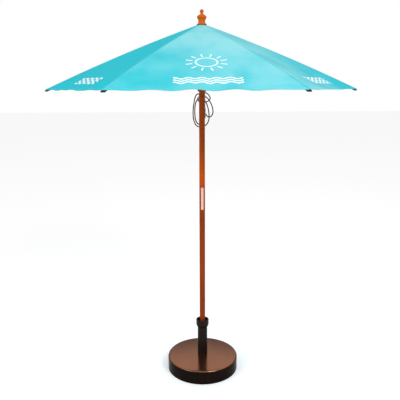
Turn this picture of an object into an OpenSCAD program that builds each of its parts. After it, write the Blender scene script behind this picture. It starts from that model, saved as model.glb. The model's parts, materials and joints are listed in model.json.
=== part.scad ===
// Wooden pulley parasol, two metres across, standing in a filled round base.
// Millimetres. +Z is up, the origin is the centre of the base's underside and the front faces -Y.
// Six ribs hinge on a top hub. Six struts of the same length as the hub-to-bracket distance tie
// them to a runner, so the runner stays on the pole axis at every angle of the fold.

/* [Base] */
// Outside diameter of the round base
base_d = 490; // [420:5:560]
// Height of the upright side of the base
base_side_h = 98; // [80:1:130]
// Rise of the domed top above the side
base_dome_h = 11; // [5:1:20]
// Radius of the rounded edge between side and top
base_edge_r = 13; // [5:1:14]
// Wall of the moulded base shell
base_wall = 3; // [2:0.5:4]
// Diameter of a rubber foot
foot_d = 34; // [20:1:44]
// Number of rubber feet
foot_count = 6; // [3:1:8]

/* [Socket] */
// Outside diameter of the upright tube
tube_d = 68; // [66:1:74]
// Wall of the upright tube
tube_wall = 5; // [3:0.5:6]
// Height of the tube's top above the ground
tube_top = 326; // [290:1:380]
// Outside diameter of the collar
collar_d = 88; // [84:1:100]
// Height of the collar
collar_h = 53; // [50:1:70]
// How far the tube reaches up into the collar
collar_seat = 14; // [12:1:18]
// Length of the reducer sleeve below its flange
sleeve_len = 88; // [60:1:120]

/* [Clamp] */
// Thread diameter of the clamp screw
screw_d = 8; // [6:1:10]
// Across-flats size of the captive nut
nut_af = 13; // [12:1:15]
// Diameter of the clamp knob
knob_d = 36; // [30:1:42]
// Thickness of the clamp knob
knob_t = 14; // [10:1:18]
// Travel of the clamp screw
clamp_travel = 6; // [3:1:8]

/* [Pole] */
// Diameter of the wooden pole
pole_d = 38; // [34:0.5:42]
// Height of the joint between the two pole sections
pole_joint_z = 1313; // [1200:1:1360]
// Diameter of the steel spigot that joins the sections
spigot_d = 22; // [16:1:24]
// Depth of the spigot in each section
spigot_len = 85; // [60:1:110]
// Wall of the steel liner in the lower section
liner_wall = 1.5; // [1:0.5:2]
// Diameter of the locking pin holes
pin_hole_d = 7.5; // [6:0.5:9]
// Distance between the two locking pin holes
pin_hole_pitch = 31; // [20:1:40]
// Slope of the locking pin holes, down towards the back
pin_hole_slope = 12; // [0:1:15]
// Height of the blank label
label_h = 152; // [100:1:180]
// Width of the blank label
label_w = 17; // [12:1:24]

/* [Canopy] */
// Radius from the pole axis to a canopy corner
canopy_r = 1000; // [850:10:1150]
// Height of the canopy corners
corner_z = 1950; // [1900:1:1990]
// Height of the canopy at its centre
apex_z = 2342; // [2320:1:2400]
// Upward bow of the ribs at mid length
rib_bow = 13; // [5:1:20]
// Thickness of the cloth
cloth_t = 1.5; // [1:0.5:3]
// Gap between the edges of a rib and the cloth
cloth_gap = 0.35; // [0.2:0.05:2]

/* [Frame] */
// Width of a rib
rib_w = 14; // [12:1:16]
// Depth of a rib along its inner part
rib_depth = 20; // [16:1:22]
// Depth of a rib at its tip
rib_tip_depth = 10; // [8:1:14]
// Radius of the hinge circle on hub and runner
hinge_r = 38; // [36:1:42]
// Length of a strut between its pivots
strut_len = 437; // [400:1:470]
// Depth of a strut
strut_depth = 16; // [12:1:18]
// Diameter of the frame's hinge pins
hinge_pin_d = 4; // [3:0.5:5]
// Height of the strut pivots on the runner
runner_pivot_z = 1978; // [1970:1:1990]
// Height of the runner's underside
runner_bottom_z = 1937; // [1925:1:1945]
// Diameter of the runner's lower neck
runner_neck_d = 56; // [54:1:60]
// Diameter of hub and runner over the hinges
hub_d = 100; // [96:1:108]

/* [Pulley and rope] */
// Diameter of the rope
rope_d = 7.5; // [4:0.5:7.5]
// Radius of the groove in the pulley wheel
groove_r = 15.7; // [15:0.1:17]
// Width of the pulley wheel
wheel_w = 8; // [8:0.5:9]
// Height of the pulley axle
pulley_z = 2262; // [2255:1:2265]
// Diameter of the pulley axle
axle_d = 5; // [4:0.5:6]
// Distance of the rope holes in the runner from the pole axis
rope_hole_r = 33; // [32:0.5:35]

/* [Locking pin] */
// Diameter of the locking pin
lock_pin_d = 7; // [5:0.5:7]
// Length of the locking pin
lock_pin_len = 64; // [56:1:75]
// Length of the chain that it hangs on
chain_len = 112; // [80:1:130]

/* [Finial] */
// Height of the turned finial
finial_h = 93; // [80:1:110]
// Diameter of the finial's foot
finial_d = 62; // [54:1:66]
// Diameter of the finial's stud
stud_d = 10; // [8:1:12]
// Length of the stud below the finial
stud_len = 55; // [40:1:60]

/* [Hidden] */
$fn = 96;
eps = 0.1;

// Clearances
seat_gap = 0.3;
slide_gap = 0.3;
pin_gap = 0.05;
side_gap = 0.3;
runner_gap = 1.2;

// Base and socket
foot_t = 4;
foot_proud = 2;
foot_ring_r = base_d / 2 - 45;
plate_top = foot_proud + base_wall;
edge_steps = 6;
dome_steps = 10;
base_r = base_d / 2;
base_top = base_side_h + base_dome_h;
tube_r = tube_d / 2;
tube_bore_r = tube_r - tube_wall;
collar_bottom = tube_top - collar_seat;
collar_top = collar_bottom + collar_h;
collar_chamfer = 15;
collar_rim_r = 3;
collar_mouth_r = tube_r + 0.8;
flange_t = 4;
flange_r = tube_r - 1;

// Clamp: its axis runs along +Y, behind the pole
pad_r = 7;
pad_t = 5.6;
pad_socket = 3;
pad_front = pole_d / 2 + 0.4;
clamp_z = tube_top + seat_gap + flange_t + pad_r + 2;
screw_tip_r = screw_d / 2 - 1;
screw_start = pad_front + pad_t - pad_socket + seat_gap;
nut_t = 6.5;
nut_start = collar_d / 2 - nut_t - 1;
knob_start = collar_d / 2 + 4 + clamp_travel / 3;
knob_lobes = 6;

// Pole
pole_r = pole_d / 2;
pole_foot_z = plate_top + seat_gap + 3;
foot_cap_wall = 2;
foot_cap_h = 24;
pole_top_z = apex_z - 12;
pin_hole_z = runner_bottom_z - 32;
label_t = 0.3;

// Frame
rib_angles = [-60, 0, 60, 120, 180, 240];
ridge_start_r = 30;
section_start_r = (finial_d / 2 + 0.5) / cos(30);
section_steps = 10;
seam_gap = 0.5;
rib_end_r = canopy_r - 12;
taper_start_r = hinge_r + strut_len;
pin_r = hinge_pin_d / 2;
hole_r = pin_r + pin_gap;
slope = atan((apex_z - corner_z) / (canopy_r - ridge_start_r));
// The cloth falls away on both sides of a ridge, so the ridge stands this far above a rib's edges
ridge_rise = rib_w / 2 * tan(30) * (apex_z - corner_z + 4 * rib_bow) / (canopy_r - ridge_start_r);
hub_pivot_z = rib_centre_z(hinge_r);
half_drop = (hub_pivot_z - runner_pivot_z) / 2;
strut_angle = asin(half_drop / strut_len);
bracket_x = hinge_r + strut_len * cos(strut_angle);
bracket_z = hub_pivot_z - half_drop;
strut_w = rib_w - 2 * side_gap;
slot_w = rib_w + 2 * 0.5;
slot_r = hinge_r - rib_depth / 2 - 2;
hub_bottom_z = hub_pivot_z - 28;
hub_top_z = apex_z - 7;
plate_t = 1.5;
runner_bore_r = pole_r + runner_gap;
runner_top_z = runner_pivot_z + 17;
runner_slot_r = hinge_r - strut_depth / 2 - 2;
runner_shoulder_z = runner_pivot_z - 16;
hinge_pin_len = slot_w + 10;
tip_wall = 1.5;
tip_len = 34;

// Pulley
rope_r = rope_d / 2;
wheel_r = groove_r + 2.7;
wheel_slot_w = wheel_w + 1;
slot_above = groove_r + rope_d + 4;
slot_below = 74;
rope_line_r = groove_r + rope_r + 0.15;
rope_hole_d = rope_d + 2;

// Finial
finial_foot_z = apex_z + 2 + seat_gap;

// Locking pin and chain
chain_r = pole_r + lock_pin_d / 2 + 2.6;
chain_turn = 31;
chain_x = chain_r * cos(chain_turn);
chain_y = chain_r * sin(chain_turn);
link_r = 3;
link_wire_r = 1;
link_pitch = 2 * link_r + 1.6;
lug_t = 2;
eye_w = 3;
eye_r = 3.5;
eye_pin_r = 1.5;
eye_z = runner_bottom_z - 6;
link_count = floor((chain_len - 2 * eye_r) / link_pitch);
chain_end_z = eye_z - eye_r - link_count * link_pitch;

// Rope: it leaves the runner behind the pole and hangs in loose loops
rope_points = [
    [0, 33, 1990], [0, 33, 1964], [3, 33, 1944], [14, 31, 1932], [31, 29, 1926],
    [46, 27, 1912], [54, 26, 1894], [45, 26, 1878], [27, 26, 1870], [8, 26, 1868],
    [-13, 26, 1871], [-27, 27, 1884], [-23, 30, 1899], [-6, 34, 1906], [16, 36, 1906],
    [37, 37, 1894], [54, 37, 1870], [67, 37, 1841], [73, 36, 1809], [66, 35, 1783],
    [50, 34, 1773], [33, 34, 1780], [20, 36, 1806], [10, 40, 1842], [1, 43, 1882],
    [-11, 43, 1912], [-27, 38, 1921], [-42, 34, 1903], [-51, 33, 1864], [-57, 32, 1814],
    [-55, 32, 1764], [-43, 32, 1728], [-23, 33, 1710], [2, 33, 1711], [26, 30, 1721],
    [42, 27, 1744], [47, 26, 1780], [40, 29, 1832], [24, 34, 1871], [-2, 35, 1888],
    [-28, 35, 1884], [-42, 35, 1856], [-46, 36, 1806], [-42, 37, 1758], [-28, 39, 1731],
    [-8, 40, 1722]
];
rope_sides = 8;
knot_r = 6.5;

// ---------- functions ----------

// Points of an arc from angle a to angle b
function arc(cx, cy, r, a, b, n) =
    [for (i = [0 : n]) [cx + r * cos(a + (b - a) * i / n), cy + r * sin(a + (b - a) * i / n)]];

// Height of the cloth's upper face above a rib, at radius r
function ridge_z(r) =
    let (f = (r - ridge_start_r) / (canopy_r - ridge_start_r))
    apex_z - (apex_z - corner_z) * f + 4 * rib_bow * f * (1 - f);

// Depth of a rib at radius r: constant, then tapering to the tip
function rib_depth_at(r) =
    let (f = (r - taper_start_r) / (canopy_r - taper_start_r))
    f < 0 ? rib_depth : rib_depth - (rib_depth - rib_tip_depth) * f;

// Top edge, centreline and bottom edge of a rib
function rib_top_z(r) = ridge_z(r) - cloth_t - ridge_rise - cloth_gap;
function rib_bottom_z(r) = rib_top_z(r) - rib_depth_at(r) / cos(slope);
function rib_centre_z(r) = (rib_top_z(r) + rib_bottom_z(r)) / 2;

// Catmull-Rom point between p[i] and p[i + 1]
function route_point(p, i, t) =
    let (
        a = p[max(i - 1, 0)], b = p[i], c = p[min(i + 1, len(p) - 1)], d = p[min(i + 2, len(p) - 1)]
    )
    0.5 * (2 * b + (c - a) * t + (2 * a - 5 * b + 4 * c - d) * t * t
        + (3 * b - a - 3 * c + d) * t * t * t);

// Two rings for each stretch of a route
function route(p) = concat(
    [for (i = [0 : len(p) - 2]) each [p[i], route_point(p, i, 0.5)]], [p[len(p) - 1]]);

function unit(v) = v / norm(v);
function tangent(p, i) = unit(p[min(i + 1, len(p) - 1)] - p[max(i - 1, 0)]);

// A ring's first side, carried along the route so that the tube does not twist
function frames(p, i = 0, n = [1, 0, 0]) =
    i >= len(p) ? [] :
    let (t = tangent(p, i), m = unit(n - t * (n * t)))
    concat([[m, cross(t, m)]], frames(p, i + 1, m));

// ---------- helper modules ----------

// A round tube swept along points
module swept_tube(p, r, sides) {
    f = frames(p);
    n = len(p);
    points = [for (i = [0 : n - 1]) for (k = [0 : sides - 1])
        p[i] + r * (cos(360 * k / sides) * f[i][0] + sin(360 * k / sides) * f[i][1])];
    walls = [for (i = [0 : n - 2]) for (k = [0 : sides - 1])
        let (a = i * sides + k, b = i * sides + (k + 1) % sides)
        each [[a, a + sides, b], [b, a + sides, b + sides]]];
    ends = [[for (k = [0 : sides - 1]) k],
        [for (k = [sides - 1 : -1 : 0]) (n - 1) * sides + k]];
    polyhedron(points, concat(walls, ends));
}

// Places its children at each rib's angle
module at_rib(i) {
    rotate([0, 0, rib_angles[i - 1]]) children();
}

// A pin along Y, centred
module cross_pin(r, l) {
    rotate([90, 0, 0]) cylinder(r = r, h = l, center = true);
}

// Extrudes an outline drawn in X and Z, centred on the Y = 0 plane
module upright_plate(w) {
    translate([0, w / 2, 0]) rotate([90, 0, 0]) linear_extrude(w) children();
}

// ---------- base ----------

// Outline of the base, shrunk inwards by inset
function base_outline(inset, bottom) =
    let (
        r = base_r - inset, er = max(base_edge_r - inset, 1), top = base_side_h - inset,
        dome_r = r - er, rise = base_dome_h
    )
    concat(
        [[r, bottom]],
        arc(r - er, top - er, er, 0, 78, edge_steps),
        [for (i = [1 : dome_steps])
            let (x = dome_r * (1 - i / dome_steps))
            [x, top + rise * (1 - pow(x / dome_r, 2))]]
    );

module base_shell() {
    color([0.16, 0.12, 0.1])
    difference() {
        rotate_extrude() polygon(concat([[0, foot_proud]], base_outline(0, foot_proud)));
        rotate_extrude() polygon(concat([[0, plate_top]], base_outline(base_wall, plate_top)));
        translate([0, 0, plate_top]) cylinder(r = tube_r + pin_gap, h = base_top);
        foot_places() cylinder(r = foot_d / 2 + pin_gap, h = foot_t - foot_proud);
    }
}

module foot_places() {
    for (k = [0 : foot_count - 1])
        rotate([0, 0, 360 * (k + 0.5) / foot_count]) translate([foot_ring_r, 0, foot_proud]) children();
}

module base_filling() {
    color([0.6, 0.6, 0.58])
    difference() {
        rotate_extrude() polygon(concat(
            [[0, plate_top + seat_gap]], base_outline(base_wall + seat_gap, plate_top + seat_gap)));
        translate([0, 0, plate_top]) cylinder(r = tube_r + pin_gap, h = base_top);
    }
}

module base_feet() {
    color([0.1, 0.1, 0.1])
    foot_places() translate([0, 0, -foot_proud]) cylinder(r = foot_d / 2, h = foot_t);
}

module socket_tube() {
    color([0.14, 0.11, 0.1])
    translate([0, 0, plate_top])
    difference() {
        cylinder(r = tube_r, h = tube_top - plate_top);
        translate([0, 0, -eps]) cylinder(r = tube_bore_r, h = tube_top - plate_top + 2 * eps);
    }
}

module tube_collar() {
    r = collar_d / 2;
    rim = collar_rim_r;
    color([0.14, 0.11, 0.1])
    difference() {
        rotate_extrude() polygon(concat(
            [[tube_r + pin_gap, collar_bottom], [tube_r + 4, collar_bottom],
                [r, collar_bottom + collar_chamfer]],
            arc(r - rim, collar_top - rim, rim, 0, 90, edge_steps),
            arc(collar_mouth_r + rim, collar_top - rim, rim, 90, 180, edge_steps),
            [[collar_mouth_r, tube_top], [tube_r + pin_gap, tube_top]]
        ));
        translate([0, r, clamp_z]) cross_pin(screw_d / 2 + 0.5, 2 * (r - tube_r + 4));
        translate([0, nut_start + r / 2, clamp_z]) rotate([90, 0, 0])
            cylinder(d = (nut_af + 2 * pin_gap) / cos(30), h = r, center = true, $fn = 6);
    }
}

module collar_nut() {
    color([0.75, 0.6, 0.3])
    translate([0, nut_start + nut_t, clamp_z]) rotate([90, 0, 0])
    difference() {
        cylinder(d = nut_af / cos(30), h = nut_t, $fn = 6);
        translate([0, 0, -eps]) cylinder(r = screw_d / 2 + pin_gap, h = nut_t + 2 * eps);
    }
}

// ---------- clamp ----------

module clamp_pad() {
    color([0.15, 0.15, 0.15])
    translate([0, pad_front + pad_t, clamp_z]) rotate([90, 0, 0])
    difference() {
        cylinder(r = pad_r, h = pad_t);
        translate([0, 0, -eps]) cylinder(r = screw_tip_r + pin_gap, h = pad_socket + eps);
    }
}

module clamp_screw() {
    shank_start = pad_front + pad_t + seat_gap;
    screw_end = knob_start + knob_t - 4;
    color([0.7, 0.7, 0.72])
    translate([0, screw_end, clamp_z]) rotate([90, 0, 0]) {
        cylinder(r = screw_d / 2, h = screw_end - shank_start);
        cylinder(r = screw_tip_r, h = screw_end - screw_start);
    }
}

module clamp_knob() {
    color([0.12, 0.12, 0.12])
    translate([0, knob_start + knob_t, clamp_z]) rotate([90, 0, 0])
    difference() {
        union() {
            cylinder(r = knob_d / 2, h = knob_t);
            cylinder(r = screw_d, h = knob_t + 2);
        }
        translate([0, 0, 4]) cylinder(r = screw_d / 2, h = knob_t);
        for (k = [0 : knob_lobes - 1])
            rotate([0, 0, 360 * k / knob_lobes]) translate([knob_d / 2 + 3, 0, -eps])
                cylinder(r = 6, h = knob_t + 2 * eps);
    }
}

// ---------- pole ----------

module pole_sleeve() {
    color([0.2, 0.18, 0.17])
    difference() {
        union() {
            translate([0, 0, tube_top - sleeve_len])
                cylinder(r = tube_bore_r - slide_gap, h = sleeve_len + seat_gap + eps);
            translate([0, 0, tube_top + seat_gap]) cylinder(r = flange_r, h = flange_t);
        }
        translate([0, 0, tube_top - sleeve_len - eps])
            cylinder(r = pole_r + slide_gap, h = sleeve_len + flange_t + 1);
    }
}

module lower_pole() {
    color([0.5, 0.24, 0.1])
    difference() {
        union() {
            translate([0, 0, pole_foot_z])
                cylinder(r = pole_r - foot_cap_wall, h = pole_joint_z - pole_foot_z);
            translate([0, 0, pole_foot_z + foot_cap_h])
                cylinder(r = pole_r, h = pole_joint_z - pole_foot_z - foot_cap_h);
        }
        translate([0, 0, pole_joint_z - spigot_len - 5])
            cylinder(r = spigot_d / 2 + 2 * pin_gap + liner_wall, h = spigot_len + 6);
    }
}

module pole_foot_cap() {
    color([0.12, 0.12, 0.12])
    difference() {
        translate([0, 0, plate_top + seat_gap])
            cylinder(r = pole_r - eps, h = pole_foot_z - plate_top - seat_gap + foot_cap_h - eps);
        translate([0, 0, pole_foot_z])
            cylinder(r = pole_r - foot_cap_wall, h = foot_cap_h + eps);
    }
}

module spigot_liner() {
    r = spigot_d / 2 + pin_gap;
    color([0.7, 0.7, 0.72])
    translate([0, 0, pole_joint_z - spigot_len - 5])
    difference() {
        cylinder(r = r + liner_wall, h = spigot_len + 5);
        translate([0, 0, -eps]) cylinder(r = r, h = spigot_len + 6);
    }
}

module pole_label() {
    color([0.91, 0.68, 0.6])
    intersection() {
        translate([0, 0, pole_joint_z - label_h - 1]) difference() {
            cylinder(r = pole_r + pin_gap + label_t, h = label_h);
            translate([0, 0, -eps]) cylinder(r = pole_r + pin_gap, h = label_h + 2 * eps);
        }
        translate([-label_w / 2, -pole_d, pole_joint_z - label_h - 2])
            cube([label_w, pole_d, label_h + 4]);
    }
}

module upper_pole() {
    joint_z = pole_joint_z + seat_gap;
    slot_bottom = pulley_z - slot_below;
    slot_top = pulley_z + slot_above;
    color([0.6, 0.3, 0.1])
    difference() {
        translate([0, 0, joint_z]) cylinder(r = pole_r, h = pole_top_z - joint_z);
        translate([0, 0, joint_z - eps]) cylinder(r = spigot_d / 2 + pin_gap, h = spigot_len + eps);
        translate([0, 0, finial_foot_z - stud_len - 2])
            cylinder(r = stud_d / 2 + pin_gap, h = stud_len);
        for (k = [0, 1])
            translate([0, -pole_r, pin_hole_z - k * pin_hole_pitch]) rotate([-pin_hole_slope, 0, 0])
                translate([0, pole_r, 0]) cross_pin(pin_hole_d / 2, pole_d + 12);
        translate([-wheel_slot_w / 2, -pole_d, slot_bottom])
            cube([wheel_slot_w, 2 * pole_d, slot_top - slot_bottom]);
        translate([0, 0, pulley_z]) rotate([0, 90, 0])
            cylinder(r = axle_d / 2, h = pole_d + 2, center = true);
    }
}

module joint_spigot() {
    color([0.72, 0.72, 0.74])
    translate([0, 0, pole_joint_z - spigot_len])
        cylinder(r = spigot_d / 2, h = 2 * spigot_len - 1);
}

// ---------- hub and pulley ----------

// Slots that the ribs or struts swing in
module hinge_slots(inner_r, z0, z1) {
    for (i = [1 : 6]) at_rib(i)
        translate([inner_r, -slot_w / 2, z0]) cube([hub_d, slot_w, z1 - z0]);
}

// Pins across the slots, or the holes that hold them
module hinge_pins(z, r) {
    for (i = [1 : 6]) at_rib(i)
        translate([hinge_r, 0, z]) cross_pin(r, hinge_pin_len);
}

module top_hub() {
    color([0.5, 0.26, 0.12])
    difference() {
        rotate_extrude() polygon([
            [pole_r + pin_gap, hub_bottom_z], [hub_d / 2 - 12, hub_bottom_z],
            [hub_d / 2, hub_bottom_z + 12], [hub_d / 2, hub_top_z - 11],
            [hub_d / 2 - 4, hub_top_z - 8], [ridge_start_r, hub_top_z], [pole_r + pin_gap, hub_top_z]
        ]);
        hinge_slots(slot_r, hub_bottom_z - 1, hub_top_z + 1);
        hinge_pins(hub_pivot_z, pin_r);
    }
}

module hub_pins() {
    color([0.7, 0.7, 0.72]) hinge_pins(hub_pivot_z, pin_r);
}

module crown_disc() {
    color([0.15, 0.1, 0.08])
    translate([0, 0, hub_top_z + 0.5])
    difference() {
        cylinder(r = finial_d / 2, h = apex_z + 2 - hub_top_z - 0.5);
        translate([0, 0, -eps]) cylinder(r = stud_d / 2 + 0.2, h = 20);
    }
}

module pulley_axle() {
    color([0.7, 0.7, 0.72])
    translate([0, 0, pulley_z]) rotate([0, 90, 0])
        cylinder(r = axle_d / 2, h = pole_d - 3, center = true);
}

module pulley_wheel() {
    half = wheel_w / 2;
    color([0.8, 0.65, 0.35])
    translate([0, 0, pulley_z]) rotate([0, 90, 0])
    rotate_extrude() polygon(concat(
        [[axle_d / 2 + pin_gap, -half], [wheel_r, -half]],
        [for (p = arc(groove_r + rope_r, 0, rope_r, 262, 98, 8)) [p[0], p[1]]],
        [[wheel_r, half], [axle_d / 2 + pin_gap, half]]
    ));
}

// Rope over the wheel, with a strand down each side of the pole to the runner's top
module hoist_rope() {
    drop = pulley_z - runner_top_z - 1;
    lean = atan((rope_hole_r - rope_line_r) / drop);
    strand = drop / cos(lean);
    color([0.45, 0.25, 0.12])
    translate([0, 0, pulley_z]) {
        rotate([90, 0, 90]) rotate_extrude(angle = 180)
            translate([rope_line_r, 0]) circle(r = rope_r - eps, $fn = 24);
        for (side = [-1, 1])
            translate([0, side * rope_line_r, 0]) rotate([180 + side * lean, 0, 0])
                cylinder(r = rope_r - eps, h = strand);
    }
}

// ---------- finial ----------

module finial() {
    ball_r = 12.2;
    // Height and radius of the turned beads and hollows above the foot bead
    turns = [[6, 29], [22, 21], [45, 30.5], [57, 23], [67, 8]];
    tall = finial_h / 93;
    wide = finial_d / 62;
    color([0.95, 0.45, 0.1])
    translate([0, 0, finial_foot_z])
    rotate_extrude() polygon(concat(
        [[0, 0]],
        arc(finial_d / 2 - 3 * wide, 3 * tall, 3, -90, 75, 6),
        [for (k = [0 : len(turns) - 2]) for (t = [0 : 0.2 : 0.8])
            let (a = turns[k], b = turns[k + 1])
            [wide * (a[1] + (b[1] - a[1]) * (1 - cos(180 * t)) / 2), tall * (a[0] + (b[0] - a[0]) * t)]],
        arc(0, finial_h - ball_r, ball_r, -48, 90, 12)
    ));
}

module finial_stud() {
    color([0.7, 0.7, 0.72])
    translate([0, 0, finial_foot_z - stud_len]) cylinder(r = stud_d / 2, h = stud_len);
}

// ---------- runner ----------

module runner() {
    r = hub_d / 2;
    neck_r = runner_neck_d / 2;
    color([0.5, 0.24, 0.1])
    difference() {
        rotate_extrude() polygon(concat(
            [[runner_bore_r, runner_bottom_z]],
            arc(neck_r - 3, runner_bottom_z + 3, 3, -90, 0, 4),
            [[neck_r, runner_shoulder_z - 6], [r - 7, runner_shoulder_z],
                [r, runner_shoulder_z + 7], [r, runner_top_z - 5], [r - 5, runner_top_z],
                [runner_bore_r, runner_top_z]]
        ));
        hinge_slots(runner_slot_r, runner_shoulder_z - 4, runner_top_z + 1);
        hinge_pins(runner_pivot_z, pin_r);
        for (side = [-1, 1])
            translate([0, side * rope_hole_r, runner_bottom_z - 1])
                cylinder(d = rope_hole_d, h = runner_top_z - runner_bottom_z + 2);
    }
}

// Hinge pins of the struts, with the lugs and the pin that the chain hangs from
module runner_pins() {
    lug_y = eye_w / 2 + side_gap;
    color([0.7, 0.7, 0.72]) {
        hinge_pins(runner_pivot_z, pin_r);
        translate([chain_x, chain_y, eye_z]) {
            cross_pin(eye_pin_r, 2 * (lug_y + lug_t));
            for (side = [-1, 1])
                translate([0, side * (lug_y + lug_t / 2), 0]) upright_plate(lug_t) union() {
                    circle(r = eye_r - 0.5);
                    translate([-eye_r + 0.5, 0]) square([2 * eye_r - 1, runner_bottom_z - eye_z]);
                }
        }
    }
}

module rope() {
    color([0.45, 0.25, 0.12]) swept_tube(route(rope_points), rope_r, rope_sides);
}

// Stopper knot with a short tail, turned about one axis
module rope_knot() {
    tail_angle = 28;
    color([0.45, 0.25, 0.12])
    translate(rope_points[len(rope_points) - 1] + [knot_r - 0.6, 0, -0.5])
    rotate([0, 90 + tail_angle, 0])
    rotate_extrude() polygon(concat(
        arc(0, 0, knot_r, -90, 90 - tail_angle, 12), [[rope_r, knot_r + 14], [0, knot_r + 14]]));
}

// An eye on the runner's small pin, and links that hang from it in turn
module pin_chain() {
    color([0.7, 0.7, 0.72]) {
        translate([chain_x, chain_y, eye_z]) difference() {
            cross_pin(eye_r, eye_w);
            cross_pin(eye_pin_r + pin_gap, eye_w + 2);
        }
        for (k = [0 : link_count - 1])
            translate([chain_x, chain_y, eye_z - eye_r - (k + 0.5) * link_pitch])
                rotate([0, 0, 90 * (k % 2)]) rotate([90, 0, 0])
                    rotate_extrude() translate([link_r - eps, 0]) circle(r = link_wire_r, $fn = 16);
    }
}

module locking_pin() {
    nose = 3;
    color([0.7, 0.7, 0.72])
    translate([chain_x, chain_y, chain_end_z - lock_pin_len])
    difference() {
        union() {
            translate([0, 0, nose]) cylinder(r = lock_pin_d / 2, h = lock_pin_len - nose);
            cylinder(r1 = lock_pin_d / 2 - 1.5, r2 = lock_pin_d / 2, h = nose);
        }
        translate([0, 0, lock_pin_len - 4]) rotate([0, 90, 0])
            cylinder(r = 1.6, h = lock_pin_d + 2, center = true);
    }
}

// ---------- ribs, struts and cloth ----------

module rib(i) {
    steps = 24;
    xs = [for (k = [0 : steps]) hinge_r + (rib_end_r - hinge_r) * k / steps];
    color([0.6, 0.35, 0.15])
    at_rib(i) difference() {
        union() {
            upright_plate(rib_w) polygon(concat(
                [for (x = xs) [x, rib_top_z(x)]],
                [for (k = [steps : -1 : 0]) [xs[k], rib_bottom_z(xs[k])]]
            ));
            translate([hinge_r, 0, hub_pivot_z]) cross_pin(rib_depth / 2, rib_w);
        }
        translate([hinge_r, 0, hub_pivot_z]) cross_pin(hole_r, rib_w + 2);
    }
}

// Two metal cheeks on the rib, with the strut's pivot pin and a rivet
module rib_bracket(i) {
    rivet_x = bracket_x - 14;
    cheek_h = rib_centre_z(bracket_x) - bracket_z;
    color([0.7, 0.7, 0.72])
    at_rib(i) {
        for (side = [-1, 1])
            translate([0, side * (rib_w + plate_t) / 2, 0]) upright_plate(plate_t) polygon([
                [bracket_x - 26, rib_centre_z(bracket_x - 26) + 4],
                [bracket_x + 22, rib_centre_z(bracket_x + 22) + 4],
                [bracket_x + 22, rib_centre_z(bracket_x + 22) - 7],
                [bracket_x + 7, bracket_z - 3], [bracket_x + 3, bracket_z - 7],
                [bracket_x - 4, bracket_z - 7], [bracket_x - 8, bracket_z - 2],
                [bracket_x - 26, rib_centre_z(bracket_x - 26) - 7]
            ]);
        translate([bracket_x, 0, bracket_z]) cross_pin(pin_r, rib_w + 2 * plate_t + 2);
        for (side = [-1, 1])
            translate([rivet_x, side * (rib_w / 2 + plate_t + 0.75), bracket_z + cheek_h + 3])
                cross_pin(3.5, 1.5);
    }
}

// Socket on the rib's end that holds the canopy's corner: floor, two sides and an end wall
module rib_tip(i) {
    x0 = canopy_r - tip_len;
    half = rib_w / 2;
    function floor_z(x) = rib_bottom_z(min(x, rib_end_r)) - tip_wall;
    color([0.1, 0.1, 0.1])
    at_rib(i) {
        difference() {
            upright_plate(rib_w + 2 * tip_wall) polygon([
                [x0, rib_top_z(x0) - 1], [canopy_r - 1, rib_top_z(canopy_r - 1) - 1],
                [canopy_r, rib_top_z(canopy_r) - 4], [canopy_r - 1, floor_z(canopy_r) + 1],
                [canopy_r - 4, floor_z(canopy_r)], [rib_end_r, floor_z(rib_end_r)], [x0, floor_z(x0)]
            ]);
            upright_plate(rib_w) polygon([
                [x0 - 5, rib_top_z(x0 - 5) + 5], [rib_end_r, rib_top_z(rib_end_r) + 5],
                [rib_end_r, rib_bottom_z(rib_end_r)], [x0, rib_bottom_z(x0)],
                [x0 - 5, rib_bottom_z(x0 - 5)]
            ]);
        }
    }
}

module strut(i) {
    color([0.6, 0.35, 0.15])
    at_rib(i) translate([bracket_x, 0, bracket_z]) rotate([0, 180 - strut_angle, 0])
    difference() {
        union() {
            translate([0, -strut_w / 2, -strut_depth / 2]) cube([strut_len, strut_w, strut_depth]);
            for (x = [0, strut_len]) translate([x, 0, 0]) cross_pin(strut_depth / 2, strut_w);
        }
        for (x = [0, strut_len]) translate([x, 0, 0]) cross_pin(hole_r, strut_w + 2);
    }
}

// Cloth over one rib, out to the middle of the panel on each side
module canopy_section(i) {
    n = section_steps;
    function across(r, side) = [0.75 * r + 0.5 * seam_gap,
        side * (r * sin(60) / 2 - seam_gap * sin(60))];
    rows = [for (k = [0 : n]) section_start_r + (canopy_r - section_start_r) * k / n];
    points = [for (dz = [0, -cloth_t]) for (r = rows) let (z = ridge_z(r) + dz, m = across(r, 1)) each [
        [m[0], -m[1], z], [r, 0, z], [m[0], m[1], z]]];
    below = 3 * (n + 1);
    cloth = [for (k = [0 : n - 1]) for (j = [0, 1]) let (a = 3 * k + j) each [
        [a, a + 1, a + 4], [a, a + 4, a + 3],
        [below + a, below + a + 4, below + a + 1], [below + a, below + a + 3, below + a + 4]]];
    edges = [for (k = [0 : n - 1]) let (a = 3 * k, b = a + 2) each [
        [a, a + 3, below + a + 3], [a, below + a + 3, below + a],
        [b, below + b + 3, b + 3], [b, below + b, below + b + 3]]];
    ends = [for (j = [0, 1]) let (a = j, b = 3 * n + j) each [
        [a, below + a + 1, a + 1], [a, below + a, below + a + 1],
        [b, b + 1, below + b + 1], [b, below + b + 1, below + b]]];
    color([0.2, 0.82, 0.87])
    at_rib(i) polyhedron(points, concat(cloth, edges, ends));
}

// ---------- nodes ----------

base_shell();
base_filling();
base_feet();
socket_tube();
tube_collar();
collar_nut();
clamp_pad();
clamp_screw();
clamp_knob();
pole_sleeve();
lower_pole();
pole_foot_cap();
spigot_liner();
pole_label();
upper_pole();
joint_spigot();
top_hub();
hub_pins();
pulley_axle();
hoist_rope();
crown_disc();
pulley_wheel();
finial();
finial_stud();
runner();
runner_pins();
rope();
rope_knot();
pin_chain();
locking_pin();
for (i = [1 : 6]) {
    rib(i);
    rib_bracket(i);
    rib_tip(i);
    strut(i);
    canopy_section(i);
}
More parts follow.
